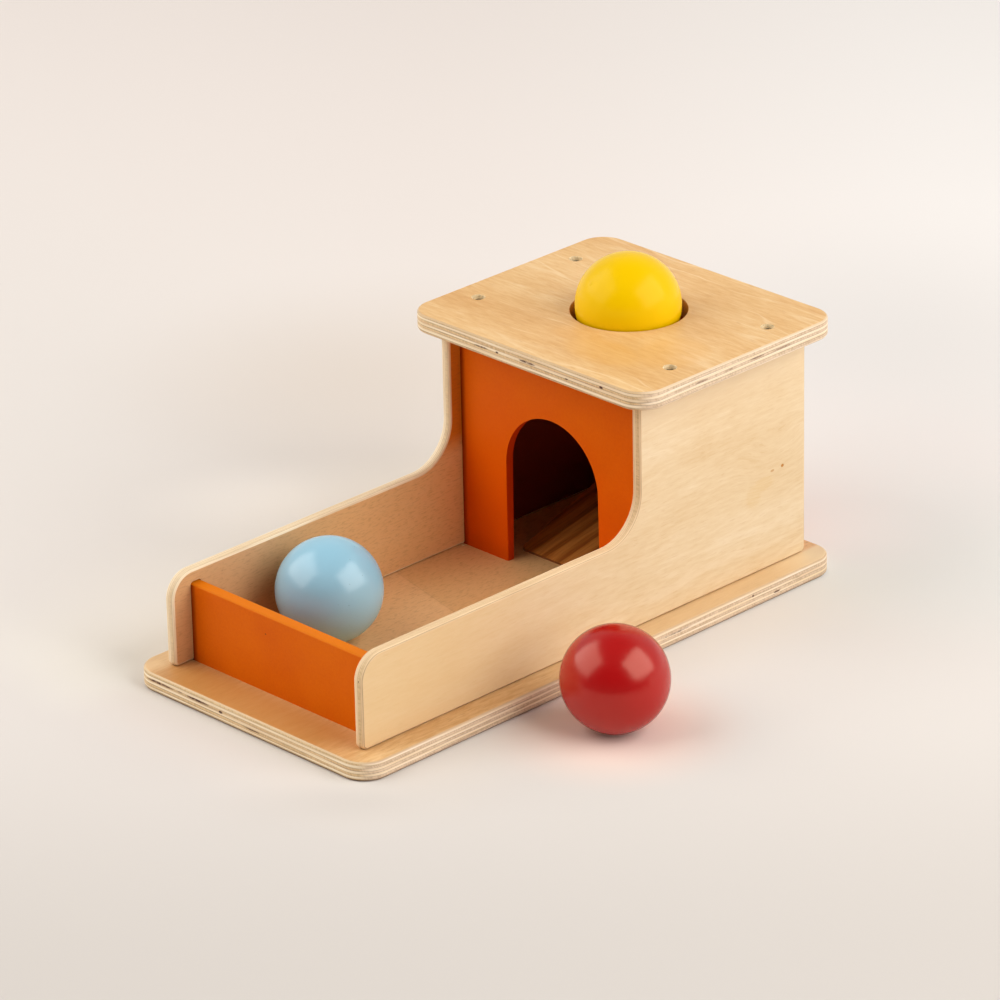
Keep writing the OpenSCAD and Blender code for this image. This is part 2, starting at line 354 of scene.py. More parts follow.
def makeFloor(look):
    bm = bmesh.new()
    bmesh.ops.create_circle(bm, cap_ends=True, segments=96, radius=look["radius"])
    mesh = bpy.data.meshes.new("studioFloor")
    bm.to_mesh(mesh)
    bm.free()
    floor = linkObject(bpy.data.objects.new("studioFloor", mesh))
    floor.location.z = -look["below"]
    desk = newDesk("paleSeamlessPaper")
    x, y, z = desk.place()
    # away from the camera, and to its right
    away = y * 0.70 - x * 0.72
    across = x * 0.70 + y * 0.72
    # painted light and shade: the paper's tone changes from near the camera to the back, and from left to right
    # behind the box
    tint = desk.mix(desk.step(away, -0.30, -0.02), look["nearColour"], look["colour"])
    behind = desk.mix(desk.step(across, -0.05, 0.28), look["behindLeft"], look["behindColour"])
    tint = desk.mix(desk.step(away + across * 0.8, 0.0, 0.6), tint, behind)
    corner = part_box("base_board")[1]
    outLeft = (x * -1 - corner.x).maths("MAXIMUM", 0.0) * look["besideLeft"]
    outX = (x - corner.x).maths("MAXIMUM", 0.0) + outLeft
    outY = (abs(y) - corner.y).maths("MAXIMUM", 0.0)
    # painted light on the paper beside the box, against its shadow
    beside = 1 - desk.step(desk.length(outX, outY), 0.0, look["besideWidth"])
    besideTint = desk.mix(desk.step(x * -1, 0.055, 0.085), look["besideBoxPaintedLight"], look["besideBoxLeftPaintedLight"])
    tint = desk.mix(beside, tint, besideTint)
    # painted light on the paper behind the house, against its pink shadow
    offHouse = desk.length(x * 0.5, y - 0.18)
    tint = desk.mix((1 - desk.step(offHouse, 0.04, 0.11)) * 0.8, tint, look["behindHousePaintedLight"])
    # soft spots of painted light and shade
    for spotAcross, spotAway, halfAcross, halfAway, spotColour in look["spots"]:
        reach = desk.length((across - spotAcross) / halfAcross, (away - spotAway) / halfAway)
        tint = desk.mix(1 - desk.step(reach, 0.0, 1.0), tint, spotColour)
    # painted red bounce light and painted contact shadow round the red ball's rest place
    ball = middleOf(look["redBallBounceAndShadow"]["spot"])
    reach = desk.length(x - ball.x, y - ball.y)
    tint = desk.paint(tint, look["redBallBounceAndShadow"], [
        (1 - desk.step(reach, 0.012, look["redBallBounceAndShadow"]["width"]), "colour"),
        (1 - desk.step(reach, 0.006, 0.034), "contactShadow")])
    far = desk.step(desk.length(x, y), look["farStart"], look["farEnd"])
    paper = desk.node("ShaderNodeBsdfDiffuse", None, {"Color": tint, "Roughness": 0.6})
    glow = desk.node("ShaderNodeEmission", None, {"Color": look["farColour"], "Strength": 1.0})
    shader = desk.node("ShaderNodeMixShader", None, [far, paper, glow])
    desk.node("ShaderNodeOutputMaterial", None, [shader])
    mesh.materials.append(desk.owner)


def makeFlag(look, azimuth):
    toCamera = direction(azimuth, 0)
    side = Vector((-toCamera.y, toCamera.x, 0)) * look["width"] / 2
    foot = toCamera * look["distance"]
    rise = Vector((0, 0, look["height"]))
    corners = [foot - side, foot + side, foot + side + rise, foot - side + rise]
    mesh = bpy.data.meshes.new("studioFlag")
    mesh.from_pydata([tuple(corner) for corner in corners], [], [(0, 1, 2, 3)])
    desk = newDesk("darkFlagCloth")
    desk.place()
    weave = desk.evenNoise(900, 2.0)
    desk.finish(desk.mix(weave, (look["shade"],) * 3, (look["shade"] * 1.5,) * 3), 0.9)
    mesh.materials.append(desk.owner)
    flag = linkObject(bpy.data.objects.new("studioFlag", mesh))
    for use in ("camera", "diffuse", "shadow", "transmission", "volume_scatter"):
        setattr(flag, f"visible_{use}", False)


makeStudioRoom(lightSettings)
makeFloor(floorSettings)
makeFlag(lightSettings["flag"], cameraSettings["azimuth"])
print("room and floor")


# wood

def veneer(desk, along, across, look):
    # colour and height of a peeled birch face; along runs with the grain
    seed = look["seed"]
    drift = desk.noise(along * 8, across * 14, seed, 2.0) - 0.5
    curl = desk.noise(along * 42, across * 60, seed + 2.4, 2.0) - 0.5
    drifted = across + drift * look["drift"] + curl * look["curl"]
    figure = desk.noise(along * 5, drifted * 65, seed + 1.7, 2.0, 0.5)
    ridge = abs(desk.noise(along * 6, drifted * 75, seed + 3.1, 1.5, 0.5) - 0.5)
    fibre = desk.noise(along * 110, across * 700, seed + 5.3, 3.0, 0.65)
    cloud = desk.noise(along * 18, across * 26, seed + 7.9, 3.0)
    tone = 0.5 + (figure - 0.5) * look["figure"] + (fibre - 0.5) * look["fibre"]
    tone = tone + (cloud - 0.5) * look["cloud"]
    pore = desk.step(desk.noise(along * 170, across * 2100, seed + 9.1, 1.0), 0.6, 0.74)
    colour = desk.tones(tone, [(0.2, look["deep"]), (0.5, look["middle"]), (0.8, look["pale"])])
    # pale flames: thin wandering lines that come and go
    flame = (1 - desk.step(ridge, 0.0, 0.024)) * desk.step(cloud, 0.42, 0.6)
    colour = desk.mix(flame * look["flame"], colour, look["flameColour"])
    colour = desk.mix(pore * look["pores"], colour, look["poreColour"])
    height = fibre * 0.2 + flame * 0.1 - pore * 0.4
    return colour, height


roofLook = {
    "seed": 3.0, "drift": 0.035, "curl": 0.005, "figure": 0.7, "flame": 0.5, "fibre": 0.9, "cloud": 0.5,
    "deep": srgb(217, 164, 99), "middle": srgb(229, 184, 123), "pale": srgb(239, 201, 146),
    "flameColour": srgb(250, 220, 174), "pores": 0.35, "poreColour": srgb(196, 138, 74), "shift": -0.15,
    # the rim colours are painted light and shade on the top rounding, one for the front and one for the right
    "rimFrontShading": srgb(212, 180, 138), "rimRightShading": srgb(228, 201, 166),
    # the well colour is painted light on the screw recesses' walls; the ball hole colour is painted shade on the
    # ball hole's wall
    "wellPaintedLight": srgb(255, 230, 184), "ballHole": srgb(198, 136, 80),
    # painted light: golden bounce light and reflection of the yellow ball, before and beside it: x, y, half
    # width, half length, strength
    "yellowBallBounceLight": srgb(232, 172, 84),
    "yellowBallBounceSpots": [(24, 44, 22, 12, 0.35), (46, 62, 16, 18, 0.3), (4, 50, 14, 8, 0.2)],
}
baseLook = {
    "seed": 11.0, "drift": 0.008, "curl": 0.002, "figure": 0.5, "flame": 0.12, "fibre": 1.2, "cloud": 0.8,
    "deep": srgb(208, 159, 102), "middle": srgb(222, 179, 124), "pale": srgb(232, 194, 142),
    "flameColour": srgb(238, 204, 160), "pores": 0.35, "poreColour": srgb(150, 94, 46), "shift": 0.25,
    # the rim colours are painted light and shade on the top rounding, one for the front and one for the right
    "rimFrontShading": srgb(230, 203, 162), "rimRightShading": srgb(212, 177, 138),
    # the far corner colour is painted light on the far end of the base, against its shadow
    "endStrip": srgb(204, 143, 70), "backStrip": srgb(236, 204, 158), "farCornerPaintedLight": srgb(252, 226, 184),
    "leftCorner": srgb(248, 212, 162), "tray": srgb(247, 200, 144), "behindSeam": srgb(222, 172, 110),
    "glueDrop": srgb(255, 240, 200),
}
sideLook = {
    "seed": 23.0, "drift": 0.03, "curl": 0.003, "figure": 0.55, "flame": 0.3, "fibre": 0.8, "cloud": 0.5,
    "deep": srgb(221, 190, 145), "middle": srgb(229, 203, 163), "pale": srgb(236, 214, 180),
    "flameColour": srgb(243, 224, 194), "pores": 0.25, "poreColour": srgb(203, 158, 100),
    # the colour under the roof is painted light against the roof's shadow; the indoors colour is painted shade
    # inside the house
    "trayTint": srgb(230, 194, 140), "underRoofPaintedLight": srgb(244, 222, 186), "indoorsShade": srgb(126, 50, 30),
    # the inner colours are painted shade on the faces towards the tray; the neck colour is painted orange bounce
    # light and shade
    "innerFrontShade": srgb(209, 160, 110), "innerBackShade": srgb(235, 186, 126), "neckBounceAndShade": srgb(210, 130, 32),
    # the groove colour is painted shade inside the grooves
    "innerGrain": 1.5, "innerPore": srgb(132, 76, 36), "groove": srgb(58, 20, 8),
    # the gap line colour is painted contact shadow along the panels' foot
    "gapShadow": srgb(64, 32, 14), "knot": srgb(188, 122, 30),
    "knots": [(115.8, 52.8, 1.0, 0.8, 1.0), (109.6, 52.4, 1.3, 0.6, 0.6)],
    "stain": srgb(222, 184, 116), "stains": [(104, 48, 7.0, 3.5, 0.22), (98, 44.0, 5.0, 6.0, 0.2)],
}
plyLook = {
    # the colours for the right edges and for the front edges are copies of the ply colours, lit differently:
    # painted light and shade
    "long": srgb(253, 237, 208), "longDeep": srgb(240, 217, 181), "longRightShading": srgb(249, 231, 208),
    "endRightShading": srgb(228, 202, 172), "endFrontShading": srgb(231, 200, 152), "endDeep": srgb(158, 122, 84),
    "glue": srgb(140, 100, 62), "void": srgb(84, 48, 30), "pink": srgb(210, 150, 116),
    # the foot colour is painted contact shadow along the base board's bottom edge
    "foot": srgb(104, 66, 38), "plies": 7, "line": 0.07, "sway": 0.22,
}
# what differs between the side panels; a glue line has its place, from 0 at the face towards -X to 1,
# and its strength
# the panels' cream colours and coreShade differ to copy how each panel is lit: painted light and shade
panelLooks = {
    "right": {"side": 1, "seed": 6.0, "coreShade": 0.9,
              "cream": srgb(244, 215, 173), "creamDeep": srgb(226, 194, 151),
              "glue": [(0.36, 0.2), (0.5, 0.28), (0.845, 0.3), (0.965, 0.5)]},
    "left": {"side": -1, "seed": 9.0, "coreShade": 0.3,
             "cream": srgb(252, 233, 200), "creamDeep": srgb(234, 208, 170),
             "glue": [(0.12, 0.3), (0.33, 0.45), (0.5, 0.5), (0.845, 0.5)]},
}
# the panels that stand in grooves of the side panels
groovedPanels = ["arch_panel", "back_panel", "tray_end_panel"]
# voids and dark fibres seen on the edges: along the edge, height, half length, half height, strength
plyMarks = {
    "birchBaseBoard": {
        "front": [(-52.0, 5.3, 8.5, 0.6, 0.85), (-29.2, 5.3, 7.0, 0.5, 0.95), (-15.3, 4.7, 1.2, 0.65, 1.2),
                  (3.4, 2.9, 5.0, 0.35, 0.7), (-40.0, 5.5, 1.6, 0.4, 0.5), (67.6, 1.5, 0.6, 0.4, 1.6)],
        "right": [(100.8, 3.0, 2.2, 0.45, 0.85), (86.0, 5.9, 0.8, 0.6, 0.75),
                  (39.3, 5.2, 10.0, 0.35, 0.5), (113.0, 5.2, 3.0, 0.3, 0.3), (-52.0, 3.2, 5.0, 0.25, 0.3)],
    },
    "birchRoofBoard": {
        "front": [(45.4, 114.6, 1.1, 0.6, 1.2), (-14.8, 112.9, 0.9, 0.45, 1.0),
                  (2.8, 113.4, 5.0, 0.55, 0.75), (-24.2, 112.8, 4.5, 0.45, 0.65), (25.7, 112.6, 1.1, 0.35, 0.8)],
        "right": [(55.8, 113.2, 4.0, 0.45, 0.55), (88.7, 113.6, 5.0, 0.45, 0.5),
                  (104.5, 113.3, 6.0, 0.4, 0.45), (72.0, 113.3, 3.0, 0.35, 0.35)],
    },
}


def plyEdge(desk, x, y, z, layer, front, look, marks, seed):
    # layer counts plies from the bottom face; odd ones run along Y; front is 1 on faces that look along Y
    def alongPly(scale, ply, detail, roughness=0.5):
        return desk.noise(x * scale, y * scale, ply + seed, detail, roughness)

    sway = (alongPly(22, 0.0, 2.0) - 0.5) * look["sway"]
    sway = sway + (alongPly(5, layer * 0.8, 1.0) - 0.5) * 0.5
    level = layer + sway
    parity = level.maths("FLOOR") % 2.0
    part = level.maths("FRACT")
    endGrain = parity * (1 - front) + (1 - parity) * front
    hatch = desk.noise(x * 1500 + z * 500, y * 1500 + z * 500, z * 420, 1.0)
    streak = alongPly(30, z * 1900, 2.0)
    patch = alongPly(60, layer * 2.3, 2.0)
    # the right edges and the front edges take different copies of the ply colours: painted light and shade
    full = desk.mix(front, look["longRightShading"], look["long"])
    long = desk.mix(desk.step(streak, 0.38, 0.62), look["longDeep"], full)
    endTone = desk.mix(front, look["endRightShading"], look["endFrontShading"])
    end = desk.mix(desk.step(hatch * 0.4 + streak * 0.4 + patch * 0.2, 0.42, 0.62) * 0.45, endTone,
                   look["endDeep"])
    # a cream ply looks thin, because its sides are as dark as its neighbours
    thin = desk.step(abs(part - 0.5), 0.24, 0.42) * desk.step(patch, 0.3, 0.55)
    colour = desk.mix(endGrain, desk.mix(thin * 0.4, long, end), end)
    seam = desk.step(abs(part - 0.5), 0.5 - look["line"] * 2.2, 0.5 - look["line"])
    seam = seam * desk.step(alongPly(40, layer * 3.1 + 4, 2.0), 0.35, 0.6)
    colour = desk.mix(seam * 0.55, colour, look["glue"])
    middle = desk.band(level, 4.4, 0.36, 0.2)
    blush = desk.step(alongPly(28, layer * 2.7 + 2, 1.0), 0.56, 0.68) * middle
    colour = desk.mix(blush * 0.22, colour, look["pink"])
    ragged = desk.noise(x * 620, y * 620, z * 700, 3.0, 0.65) * 3.2 - 0.6
    onFront = desk.marks(x, z, marks["front"]) * front * (y < 0.06)
    onRight = desk.marks(y, z, marks["right"]) * (1 - front) * (x > 0)
    stray = desk.step(alongPly(85, layer * 1.9 + 9, 2.0, 0.6), 0.7, 0.76) * middle
    seen = onFront + onRight
    hollow = ((seen + stray * 0.4) * ragged).maths("MINIMUM", 1.0).maths("MAXIMUM", 0.0)
    colour = desk.paint(colour, look, [(seen.maths("MINIMUM", 1.0) * 0.3, "pink"), (hollow, "void")])
    return colour, hatch * 0.2 - seam * 0.5 - hollow * 0.7


def thickBoardMaterial(name, look, bottom, thickness, grainAlongX, seed, holes=()):
    # holes are (x, y, radius, colour of the wall) in m
    desk = newDesk(name)
    x, y, z = desk.place()
    faceX, faceY, faceZ = desk.facing()
    along, across = (x, y) if grainAlongX else (y, x)
    flat, flatHeight = veneer(desk, along, across, look)
    if "endStrip" in look:
        flat = basePatches(desk, x, y, flat, look)
    # painted bounce light and reflection of the yellow ball on the roof
    if "yellowBallBounceSpots" in look:
        flat = desk.mix(desk.marks(x, y, look["yellowBallBounceSpots"]), flat, look["yellowBallBounceLight"])
    layer = (z - bottom) / (thickness / plyLook["plies"])
    layer = layer + look["shift"] * desk.step(z - bottom, 0.0008, 0.003)
    front = desk.step(faceY / (faceX + faceY + 0.001), 0.35, 0.65)
    edge, edgeHeight = plyEdge(desk, x, y, z, layer, front, plyLook, plyMarks[name], seed)
    # the top rounding shows the cut face veneer; its front and right colours differ to copy how each side is
    # lit: painted light and shade
    rim = desk.mix(front, look["rimRightShading"], look["rimFrontShading"])
    edge = desk.mix(desk.step(faceZ, 0.3, 0.6) * 0.85, edge, rim)
    if bottom < mm:
        # the board that stands on the floor gets a dark line along its foot: painted contact shadow
        edge = desk.mix(desk.band(z, 0.0004, 0.0002, 0.0006) * 0.75, edge, plyLook["foot"])
    torn = desk.step(desk.noise(x * 800, y * 800, z * 900, 2.0), 0.45, 0.6)
    # hole walls: painted light in the screw recesses, painted shade in the ball hole
    for holeX, holeY, radius, wall in holes:
        reach = desk.length(x - holeX, y - holeY)
        bored = desk.mix(torn, wall, tuple(c * 0.78 for c in wall))
        edge = desk.mix((reach < radius) * 0.95, edge, bored)
    top = desk.step(faceZ, 0.86, 0.96)
    colour = desk.mix(top, edge, flat)
    height = flatHeight * top + edgeHeight * (1 - top)
    roughness = 0.42 + (1 - top) * 0.2 + (desk.evenNoise(60, 2.0) - 0.5) * 0.08
    return desk.finish(colour, roughness, height, 0.00006)


def basePatches(desk, x, y, flat, look):
    middle = 1 - desk.step(abs(x + 0.004), 0.038, 0.064)
    outside = desk.step(abs(x), 0.056, 0.059)
    inTray = (1 - outside) * desk.step(y, -0.114, -0.110)
    # the veneer joint across the tray floor
    joint = y + 0.0159 + x * 0.24 + (desk.noise(x * 60, 3.0, 1.0, 2.0) - 0.5) * 0.0016
    line = desk.band(joint, 0, 0.0001, 0.0003) * desk.noise(x * 200, 5.0, 2.0, 1.0)
    speck = (desk.noise(x * 900, y * 260, 6.0, 3.0, 0.7) - 0.5).maths("MAXIMUM", 0.0)
    return desk.paint(flat, look, [
        # the strip before the tray and the strips beside the house
        ((1 - desk.step(y, -0.126, -0.112)) * middle * 0.75, "endStrip"),
        (outside * desk.step(y, -0.06, 0.06) * 0.68, "backStrip"),
        # painted light on the far end of the base, against its shadow
        (desk.step(y, 0.098, 0.128) * 0.7, "farCornerPaintedLight"),
        (desk.step(x * -1, 0.054, 0.062) * (1 - desk.step(y, -0.12, -0.09)) * 0.6, "leftCorner"),
        (inTray * 0.75, "tray"),
        (desk.step(joint, -0.0015, 0.0015) * inTray * 0.5, "behindSeam"),
        (line * inTray * 0.3, "poreColour"),
        (speck * inTray * 1.6, "poreColour"),
        # a drop of glue in the corner by the arch panel
        (desk.marks(x, y, [(-52.7, 35.2, 0.7, 0.5, 0.9)]), "glueDrop")])


def sidePanelMaterial(name, look, own, low, high):
    # own holds what differs between the two panels
    side, seed = own["side"], own["seed"]
    desk = newDesk(name)
    x, y, z = desk.place()
    normalX = desk.split(desk.node("ShaderNodeNewGeometry", output="Normal"))[0] * side
    faceX, faceY, faceZ = desk.facing()
    flowed = z
    if side > 0:
        # the grain flows round the knots
        bend = z / mm - 52.6
        near = 1 - desk.step(((y / mm - 112) / 30) ** 2 + (bend / 22) ** 2, 0.0, 1.0)
        flowed = z + near * bend * 0.0002 + near * near * 0.004
    flat, flatHeight = veneer(desk, y, flowed, {**look, "seed": look["seed"] + seed})
    # painted light makes the panel paler just under the roof, against its shadow; the tray part takes its own
    # tint
    flat = desk.paint(flat, look, [
        ((1 - desk.step(y, -0.12, 0.05)) * 0.7, "trayTint"),
        (desk.step(z, 0.088, 0.105) * 0.7, "underRoofPaintedLight")])
    if side > 0:
        flat = desk.paint(flat, look, [
            (desk.marks(y, z, look["stains"]), "stain"), (desk.marks(y, z, look["knots"]), "knot")])
    inside = desk.step(normalX * -1, 0.6, 0.9)
    grain = (desk.noise(y * 260, z * 1250, seed + 3, 3.0, 0.7) - 0.5) * look["innerGrain"]
    # painted shade: the inner faces are darker and warmer than the outer faces, darkest towards the tray's end
    inner = desk.mix(desk.step(y, -0.085, -0.025), look["innerFrontShade"], look["innerBackShade"])
    flat = desk.mix(inside * 0.8, flat, inner)
    if side < 0:
        # the narrow strip beside the arch panel is painted with the panel's orange bounce light and shade
        flat = desk.mix(inside * desk.step(z, 0.05, 0.062) * desk.step(y, 0.02, 0.03), flat, look["neckBounceAndShade"])
    # dark pores on the inner faces, and painted shade on them inside the house
    flat = desk.paint(flat, look, [
        (inside * grain.maths("MAXIMUM", 0.0), "innerPore"),
        (inside * desk.step(y, 0.0405, 0.0415) * (y < 0.123), "indoorsShade")])
    depth = (x - low.x) / (high.x - low.x)
    depth = depth + (desk.noise(y * 20, z * 20, seed, 2.0) - 0.5) * 0.04
    front = desk.step(faceY / (faceZ + faceY + 0.001), 0.3, 0.7)
    streak = desk.noise(x * 1900, y * 26, z * 26, 2.0)
    hatch = desk.noise(x * 300, y * 1400, z * 1400, 1.0)
    core = desk.mix(desk.step(hatch * 0.45 + streak * 0.55, 0.4, 0.62) * 0.4, plyLook["endFrontShading"],
                    plyLook["endDeep"])
    cream = desk.mix(desk.step(streak, 0.36, 0.64), own["creamDeep"], own["cream"])
    # the dark core ply shows more on the front edges, by an amount set for each panel: painted shade
    isCore = desk.band(depth, 0.67, 0.165, 0.03) * (0.25 + front * own["coreShade"])
    colour = desk.mix(isCore, cream, core)
    lines = desk.band(depth, 0.7, 0.012, 0.02) * 0.3
    for share, strength in own["glue"]:
        lines = lines + desk.band(depth, share, 0.006, 0.014) * strength
    colour = desk.mix(lines, colour, plyLook["glue"])
    fleck = desk.marks(x, z, [(56.4, 38.6, 0.25, 0.5, 0.9), (59.0, 28.6, 0.2, 0.3, 0.6)]) * front
    colour = desk.mix(fleck, colour, plyLook["void"])
    # the plies show on the roundings too
    face = desk.step(faceX, 0.97, 0.998)
    colour = desk.mix(face, colour, flat)
    # painted contact shadow along the panel's foot, where it stands on the base
    colour = desk.mix((1 - desk.step(z - low.z, 0.0002, 0.0005)) * 0.95, colour, look["gapShadow"])
    # inside the grooves: painted shade
    fromInner = (x * side) / mm - min(abs(low.x), abs(high.x)) / mm
    deep = (fromInner < 2.4) * (fromInner > 0.03)
    for panel in groovedPanels:
        panelLow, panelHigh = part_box(panel)
        half = (panelHigh.y - panelLow.y) / 2
        below = z < panelHigh.z + 0.0007
        slot = desk.band(y, middleOf(panel).y, half + 0.00012, 0.0001) * deep * below
        colour = desk.mix(slot, colour, look["groove"])
    height = flatHeight * face + (hatch * 0.2 - lines * 0.4) * (1 - face)
    roughness = 0.46 + (1 - face) * 0.16 + (desk.evenNoise(60, 2.0) - 0.5) * 0.08
    return desk.finish(colour, roughness, height, 0.00005)


orangeLook = {
    "deep": srgb(207, 87, 1), "middle": srgb(218, 100, 1), "pale": srgb(226, 111, 2),
    # the edge colour is painted light on the end panel's rounded top
    "edge": srgb(223, 121, 6), "roughness": 0.45, "gloss": 0.07, "fleck": srgb(110, 44, 6),
    # painted light and shade: the arch panel is painted warmer, most low down, its jamb redder, and both panels
    # darker into their corners
    "warm": srgb(240, 90, 0), "jambShade": srgb(222, 70, 0), "corner": srgb(104, 16, 0), "cornerShadeWidth": 0.0034,
}
pineLook = {
    "turn": 10.5, "period": 0.0081, "light": srgb(202, 130, 58), "middle": srgb(178, 106, 40),
    # the lip colour is painted shade on the ramp's front lip and sides
    "dark": srgb(148, 82, 27), "lip": srgb(128, 76, 34), "knot": srgb(92, 44, 16),
}


def orangePaintMaterial(look):
    desk = newDesk("satinOrangePaint")
    x, y, z = desk.place()
    faceX, faceY, faceZ = desk.facing()
    mottle = desk.evenNoise(45, 3.0)
    speck = desk.evenNoise(900, 2.0)
    telegraph = desk.noise(x * 60, y * 2600, z * 1300, 2.0)
    tone = 0.5 + (mottle - 0.5) * 0.5 + (speck - 0.5) * 0.35
    colour = desk.tones(tone, [(0.2, look["deep"]), (0.5, look["middle"]), (0.8, look["pale"])])
    inHouse = y > 0.03
    warm = (0.2 + (1 - desk.step(z, 0.02, 0.1)) * 0.6) * (1 - desk.step(x, -0.03, 0.05) * 0.45)
    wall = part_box("right_side_panel")[0].x
    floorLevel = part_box("base_board")[1].z
    # painted warm bounce light on the arch panel; painted shade on its jamb, in the left corners and near the
    # floor
    colour = desk.paint(colour, look, [
        (warm * inHouse, "warm"),
        ((1 - desk.step(faceY, 0.2, 0.75)) * inHouse, "jambShade"),
        (desk.step(x * -1, wall - look["cornerShadeWidth"], wall) * 0.7, "corner"),
        ((1 - desk.step(z, floorLevel, 0.02)) * inHouse * 0.15, "corner"),
        # painted light on the rounded top of the end panel, and one fleck on it
        (desk.step(faceZ, 0.25, 0.7) * (y < 0) * 0.85, "edge"),
        (desk.marks(x, z, [(-8.8, 34.7, 0.5, 0.4, 0.8)]) * (y < -0.118), "fleck")])
    height = speck * 0.5 + telegraph * 0.5
    return desk.finish(colour, look["roughness"] + (mottle - 0.5) * 0.12, height, 0.00005,
                       {"Specular IOR Level": look["gloss"]})


def pineMaterial(look):
    desk = newDesk("stripedPine")
    x, y, z = desk.place()
    faceX, faceY, faceZ = desk.facing()
    c, s = math.cos(math.radians(look["turn"])), math.sin(math.radians(look["turn"]))
    across = x * c - y * s
    along = x * s + y * c
    bend = (desk.noise(along * 9, across * 30, 2.0, 2.0) - 0.5) * 0.0035
    ring = ((across + bend) / look["period"]) % 1.0
    width = desk.noise(across * 90, 7.0, 1.0, 1.0) * 0.3
    late = desk.step(ring, 0.25 + width, 0.72) * (1 - desk.step(ring, 0.8, 1.0))
    fibre = desk.noise(along * 60, across * 750, 4.0, 3.0, 0.6)
    tone = late * 0.7 + (fibre - 0.5) * 1.9 + 0.14
    colour = desk.tones(tone, [(0.0, look["light"]), (0.45, look["middle"]), (1.0, look["dark"])])
    colour = desk.mix(desk.marks(x, y, [(-8.0, 78.0, 2.2, 1.5, 0.6)]), colour, look["knot"])
    # painted shade: the front lip and the sides are darker than the top
    colour = desk.mix(1 - desk.step(faceZ, 0.3, 0.75), colour, look["lip"])
    return desk.finish(colour, 0.55 - late * 0.1, late * 0.6 + fibre * 0.4, 0.00012,
                       {"Specular IOR Level": 0.2})


def lacquerMaterial(name, look, seed):
    desk = newDesk(name)
    x, y, z = desk.place()
    cloud = desk.evenNoise(30, 3.0, seed)
    peel = desk.evenNoise(420, 2.0, seed)
    pits = desk.node("ShaderNodeTexVoronoi", {"feature": "F1"},
                     {"Vector": desk.join(x * 380 + seed, y * 380, z * 380), "Scale": 1.0})
    chosen = desk.step(desk.evenNoise(70, 2.0, seed), 0.56, 0.62)
    pit = (1 - desk.step(pits, 0.05, 0.12)) * chosen * look["pits"]
    colour = desk.mix(cloud, look["deep"], look["full"])
    colour = desk.mix(pit, colour, tuple(c * 0.25 for c in look["deep"]))
    # the wood under the lacquer is never quite round, so highlights have uneven edges
    wobble = desk.evenNoise(130, 2.0, seed)
    return desk.finish(colour, look["roughness"] + (cloud - 0.5) * 0.1,
                       peel * 0.12 + wobble * look["wobble"] - pit, 0.00012,
                       {"Specular IOR Level": look["gloss"], "Specular Tint": look["shine"]})


def zincMaterial():
    desk = newDesk("zincPlatedSteel")
    x, y, z = desk.place()
    worn = desk.evenNoise(700, 3.0)
    scratch = desk.noise(x * 3200, y * 500, z * 600, 1.0)
    colour = desk.mix(desk.step(worn, 0.35, 0.7), srgb(62, 52, 44), srgb(176, 168, 158))
    roughness = 0.22 + worn * 0.2
    return desk.finish(colour, roughness, scratch, 0.00003, {"Metallic": 1.0})


# mesh helpers

def newPiece(name, bm, material=None):
    bmesh.ops.recalc_face_normals(bm, faces=bm.faces)
    mesh = bpy.data.meshes.new(name)
    bm.to_mesh(mesh)
    bm.free()
    if material:
        mesh.materials.append(material)
    return linkObject(bpy.data.objects.new(name, mesh))


def polish(piece, smoothAngle):
    # smooth faces and hard corners
    mesh = piece.data
    mesh.polygons.foreach_set("use_smooth", [True] * len(mesh.polygons))
    mesh.set_sharp_from_angle(angle=math.radians(smoothAngle))
    return piece


def keepFlat(piece):
    # the large flat faces of a board stay flat up to their roundings
    smoothAngle = 32.0
    largeShare = 0.01
    polish(piece, smoothAngle)
    mesh = piece.data
    normals = [face.normal.copy() for face in mesh.polygons]
    keys = [tuple(round(part, 3) for part in normal) for normal in normals]
    area = {}
    for face, key in zip(mesh.polygons, keys):
        area[key] = area.get(key, 0.0) + face.area
    least = max(area.values()) * largeShare
    flatAt = {}
    for face, key in zip(mesh.polygons, keys):
        if area[key] > least:
            for corner in face.vertices:
                flatAt.setdefault(corner, {})[key] = normals[face.index]
    limit = math.cos(math.radians(smoothAngle))
    wanted = []
    for face in mesh.polygons:
        for i in face.loop_indices:
            choices = list(flatAt.get(mesh.loops[i].vertex_index, {}).values())
            best = max(choices, key=face.normal.dot, default=None)
            if best is None or face.normal.dot(best) < limit:
                best = mesh.corner_normals[i].vector
            wanted.append(tuple(best))
    mesh.normals_split_custom_set(wanted)
    return piece


def bakeModifiers(piece):
    graph = bpy.context.evaluated_depsgraph_get()
    made = bpy.data.meshes.new_from_object(piece.evaluated_get(graph))
    made.name = piece.name
    piece.modifiers.clear()
    piece.data = made


def outlinePoints(corners, steps):
    # corners go anticlockwise as (x, y, radius); one that turns the other way is hollow
    points = []
    for i, (x, y, radius) in enumerate(corners):
        here = Vector((x, y))
        ahead = (Vector(corners[(i + 1) % len(corners)][:2]) - here).normalized()
        behind = (here - Vector(corners[i - 1][:2])).normalized()
        hollow = behind.x * ahead.y - behind.y * ahead.x < 0
        centre = here + (ahead - behind) * radius
        start = here - behind * radius - centre
        angle = math.atan2(start.y, start.x)
        sweep = -math.pi / 2 if hollow else math.pi / 2
        for k in range(steps + 1):
            turned = angle + sweep * k / steps
            out = Vector((math.cos(turned), math.sin(turned)))
            points.append((centre + out * radius, -out if hollow else out))
    return points


def loftRings(bm, rings):
    for lower, upper in zip(rings, rings[1:]):
        for k in range(len(lower)):
            m = (k + 1) % len(lower)
            bm.faces.new((lower[k], lower[m], upper[m], upper[k]))


def ringEdges(bm, ring):
    return [bm.edges.get((ring[k], ring[(k + 1) % len(ring)])) for k in range(len(ring))]


